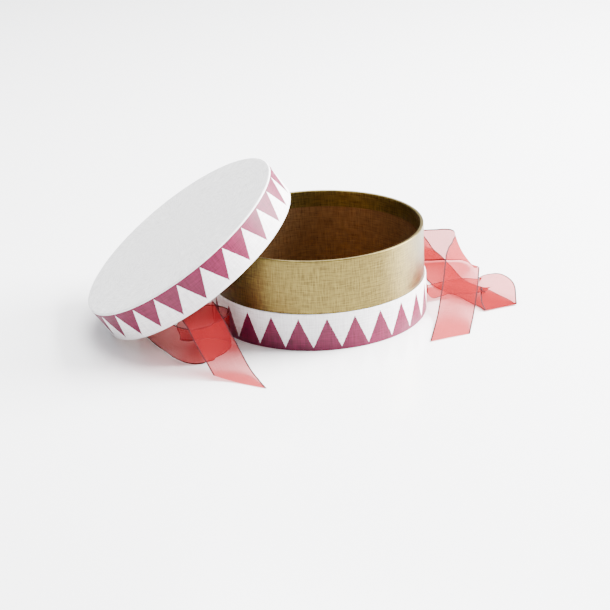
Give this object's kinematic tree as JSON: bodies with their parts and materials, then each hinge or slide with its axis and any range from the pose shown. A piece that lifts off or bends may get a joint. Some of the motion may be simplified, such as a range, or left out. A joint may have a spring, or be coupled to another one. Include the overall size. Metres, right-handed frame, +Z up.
{
  "type": "round hat box",
  "caption": "Round two-part board box with a gold collar, a band of printed triangles, a deep lid leaning beside it and two sheer tie ribbons.",
  "frame": {"origin": "on the box body's axis, at the underside of its base, on the floor", "axes": "+Z up along the body's axis, -Y to the front; the lid leans on the -X side"},
  "size_m": [0.2976, 0.268, 0.1072],
  "materials": {
    "grey_board": "uncoated grey board",
    "gold_linen_paper": "metallic gold paper with a linen emboss",
    "gold_lining_paper": "dull gold lining paper",
    "printed_linen_paper": "linen-embossed paper, plum triangles printed on white",
    "white_linen_paper": "white linen-embossed paper",
    "white_lining_paper": "smooth white lining paper",
    "coral_organza": "sheer coral organza with dark woven edges"
  },
  "bodies": {
    "box": {"wall_board": "grey_board", "gold_wrap": "gold_linen_paper", "wall_lining": "gold_lining_paper", "base_board": "grey_board", "floor_lining": "gold_lining_paper", "base_cover": "white_linen_paper", "band_board": "grey_board", "band_paper": "printed_linen_paper", "tie_ribbon_left": "coral_organza", "tie_ribbon_right": "coral_organza"},
    "lid": {"lid_top_board": "grey_board", "lid_rim_board": "grey_board", "lid_top_paper": "white_linen_paper", "lid_rim_paper": "printed_linen_paper", "lid_rim_lining": "white_lining_paper", "lid_top_lining": "white_lining_paper"}
  },
  "joints": [
    {"name": "lid_lift", "type": "slide", "parent": "box", "child": "lid", "axis": [0, 0, 1], "range_m": [0, 0.12]}
  ]
}
